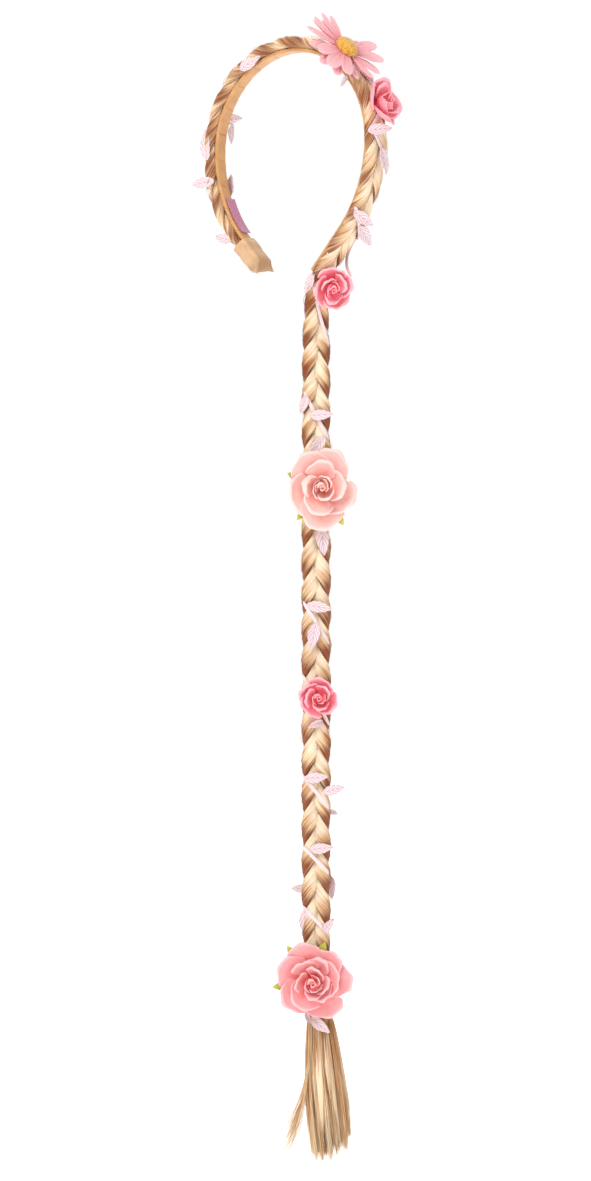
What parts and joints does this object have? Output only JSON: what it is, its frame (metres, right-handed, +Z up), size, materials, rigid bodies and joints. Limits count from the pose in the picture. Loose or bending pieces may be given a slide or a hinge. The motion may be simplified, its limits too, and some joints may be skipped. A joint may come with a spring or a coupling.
{
  "type": "flower headband with hanging braid",
  "caption": "Arched satin hair band with a blond braid along it that hangs far below one end to a loose tassel, wound with leaf ribbon and set with cloth roses and a daisy.",
  "frame": {"origin": "middle of the band's inner face at the crown, where it sits on the head", "axes": "+Z up, X from ear to ear with the hanging braid below the end at +X, -Y the band's front edge"},
  "size_m": [0.1605, 0.0548, 0.7103],
  "materials": {
    "satin": "beige satin ribbon wrapped round the band",
    "sleeve_satin": "beige satin",
    "label_cloth": "mauve label satin, bare",
    "hair": "glossy blond synthetic hair",
    "thread": "wound thread",
    "leaf_ribbon": "pale pink woven leaf ribbon",
    "daisy_cloth": "matt pink cloth",
    "daisy_foam": "flocked yellow foam",
    "bright_rose_cloth": "matt bright pink cloth",
    "pale_rose_cloth": "matt pale peach cloth",
    "pink_rose_cloth": "matt pink cloth",
    "sepal_cloth": "matt yellow-green cloth"
  },
  "bodies": {
    "root": {"band": "satin", "end_sleeve": "sleeve_satin", "label": "label_cloth", "band_strand_1": "hair", "band_strand_2": "hair", "band_strand_3": "hair", "tail_strand_1": "hair", "tail_strand_2": "hair", "tail_strand_3": "hair", "braid_tie": "thread", "tassel": "hair", "band_vine": "leaf_ribbon", "tail_vine": "leaf_ribbon", "daisy_petals_lower": "daisy_cloth", "daisy_petals_upper": "daisy_cloth", "daisy_centre": "daisy_foam", "small_rose_1_outer_petals": "bright_rose_cloth", "small_rose_1_inner_petals": "bright_rose_cloth", "small_rose_1_bud": "bright_rose_cloth", "small_rose_2_outer_petals": "bright_rose_cloth", "small_rose_2_inner_petals": "bright_rose_cloth", "small_rose_2_bud": "bright_rose_cloth", "small_rose_3_outer_petals": "bright_rose_cloth", "small_rose_3_inner_petals": "bright_rose_cloth", "small_rose_3_bud": "bright_rose_cloth", "large_rose_1_sepals": "sepal_cloth", "large_rose_1_outer_petals": "pale_rose_cloth", "large_rose_1_middle_petals": "pale_rose_cloth", "large_rose_1_inner_petals": "pale_rose_cloth", "large_rose_1_bud": "pale_rose_cloth", "large_rose_2_sepals": "sepal_cloth", "large_rose_2_outer_petals": "pink_rose_cloth", "large_rose_2_middle_petals": "pink_rose_cloth", "large_rose_2_inner_petals": "pink_rose_cloth", "large_rose_2_bud": "pink_rose_cloth"}
  },
  "joints": []
}
